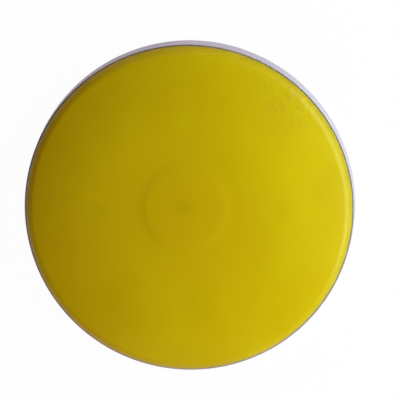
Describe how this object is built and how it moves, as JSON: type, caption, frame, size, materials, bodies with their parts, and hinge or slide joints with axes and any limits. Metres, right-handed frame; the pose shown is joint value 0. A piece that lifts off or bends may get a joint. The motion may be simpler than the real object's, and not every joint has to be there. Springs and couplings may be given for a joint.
{
  "type": "raised pavement marker",
  "caption": "Low round domed road marker: a yellow moulded cap on a white base with a keyed underside, bonded flat to a road surface.",
  "frame": {"origin": "centre of the bonding face, on the road surface", "axes": "+Z out of the road, along the dome's axis; +X and +Y through the inner screw bosses"},
  "size_m": [0.1016, 0.1016, 0.02],
  "materials": {
    "cap_yellow": "injection moulded, satin gloss, fine moulded texture",
    "base_white": "injection moulded, satin",
    "seal_black": "moulded rubber, matte",
    "screw_steel": "plain stainless steel, cold headed",
    "sand_resin": "cast, gritty"
  },
  "bodies": {
    "root": {"dome_shell": "cap_yellow", "base_plate": "base_white", "perimeter_seal": "seal_black", "base_screw_1": "screw_steel", "base_screw_2": "screw_steel", "base_screw_3": "screw_steel", "base_screw_4": "screw_steel", "centre_fill": "sand_resin", "inner_fill_1": "sand_resin", "inner_fill_2": "sand_resin", "inner_fill_3": "sand_resin", "inner_fill_4": "sand_resin", "inner_fill_5": "sand_resin", "inner_fill_6": "sand_resin", "inner_fill_7": "sand_resin", "inner_fill_8": "sand_resin", "outer_fill_1": "sand_resin", "outer_fill_2": "sand_resin", "outer_fill_3": "sand_resin", "outer_fill_4": "sand_resin", "outer_fill_5": "sand_resin", "outer_fill_6": "sand_resin", "outer_fill_7": "sand_resin", "outer_fill_8": "sand_resin"}
  },
  "joints": []
}
